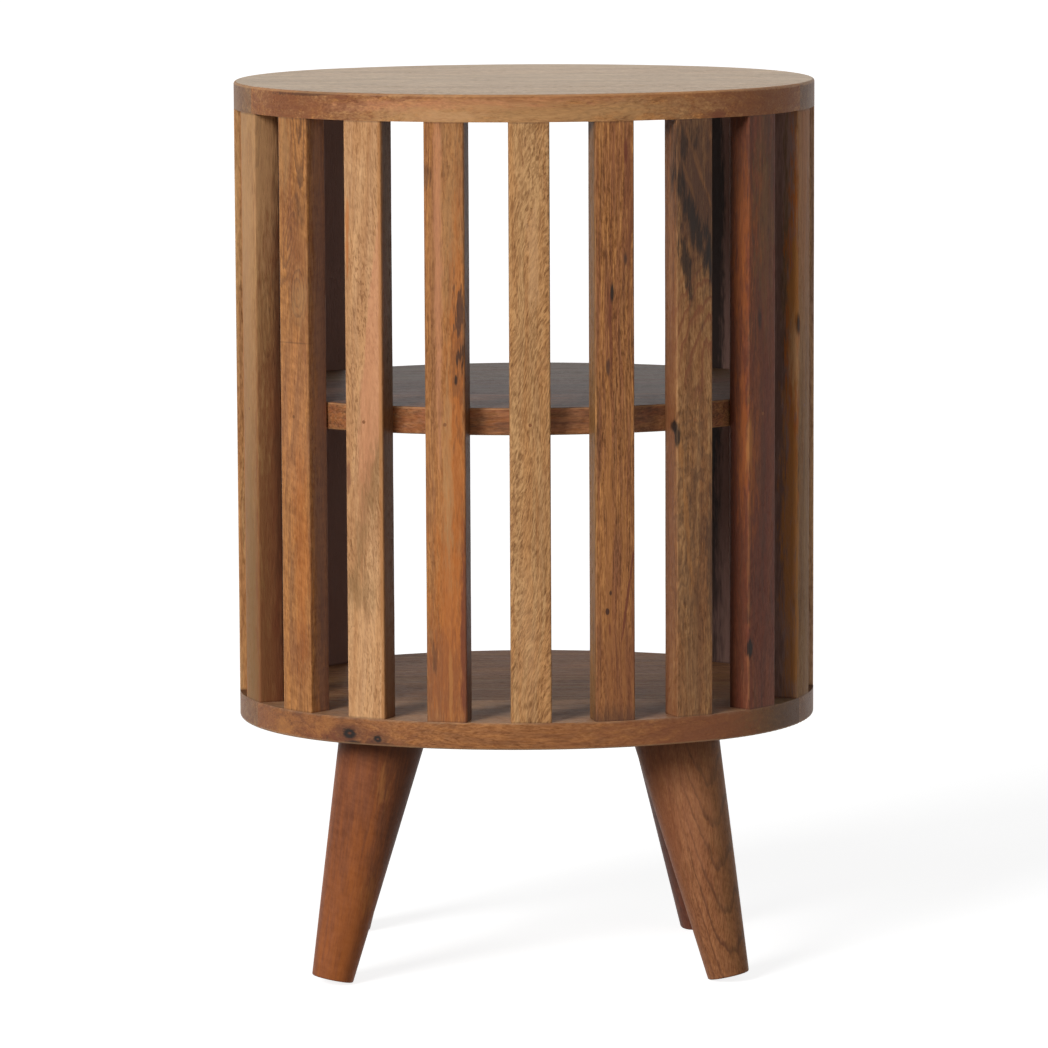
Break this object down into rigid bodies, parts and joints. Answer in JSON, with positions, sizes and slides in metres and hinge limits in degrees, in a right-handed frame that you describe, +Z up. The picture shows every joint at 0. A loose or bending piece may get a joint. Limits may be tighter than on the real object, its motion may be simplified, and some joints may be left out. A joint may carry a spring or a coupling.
{
  "type": "end table with shelf",
  "caption": "Oval wooden end table: top, base and mid shelf inside a ring of upright slats open at the back, on splayed tapered legs.",
  "frame": {"origin": "on the floor, under the middle of the oval top", "axes": "+Z up, +X along the oval's long way, +Y from the slatted front to the open back"},
  "size_m": [0.4, 0.31, 0.615],
  "materials": {
    "top_wood": "three glued boards, greyish beige face grain, orange-brown rim, dull oil finish",
    "base_wood": "three glued boards, grey-brown face grain, orange-brown rim, dull oil finish",
    "shelf_wood": "three glued boards, grey-brown face grain, reddish-brown rim, dull oil finish",
    "slat_pale": "pale straight-grained wood with fine flecks, dull oil finish",
    "slat_tan": "grey-tan wood, fine grain, dull oil finish",
    "slat_orange": "orange-tan wood, fine grain, dull oil finish",
    "slat_brown": "brown wood with a darker figure, dull oil finish",
    "slat_dark": "dark reddish-brown wood, dull oil finish",
    "leg_wood": "turned reddish-orange wood, smooth dull oil finish",
    "leg_wood_brown": "turned mid-brown wood with a strong figure, dull oil finish",
    "dowel_wood": "bare pale dowel wood",
    "filler": "wood filler, sanded flush",
    "steel": "zinc-plated steel",
    "brass": "plain brass"
  },
  "bodies": {
    "root": {"top_board_front": "top_wood", "top_board_middle": "top_wood", "top_board_back": "top_wood", "base_board_front": "base_wood", "base_board_middle": "base_wood", "base_board_back": "base_wood", "shelf_board_front": "shelf_wood", "shelf_board_middle": "shelf_wood", "shelf_board_back": "shelf_wood", "slat_01": "slat_brown", "slat_02": "slat_dark", "slat_03": "slat_dark", "slat_04": "slat_tan", "slat_05": "slat_orange", "slat_06": "slat_pale", "slat_07": "slat_orange", "slat_08": "slat_pale", "slat_09": "slat_brown", "slat_10": "slat_brown", "slat_11": "slat_dark", "slat_12": "slat_tan", "slat_13": "slat_dark", "slat_14": "slat_brown", "slat_15": "slat_tan", "leg_front_left": "leg_wood", "leg_front_right": "leg_wood_brown", "leg_back_left": "leg_wood_brown", "leg_back_right": "leg_wood", "slat_dowels_top": "dowel_wood", "slat_dowels_base": "dowel_wood", "shelf_brads": "steel", "brad_fillers": "filler", "leg_hanger_bolts": "steel", "leg_inserts": "brass"}
  },
  "joints": []
}
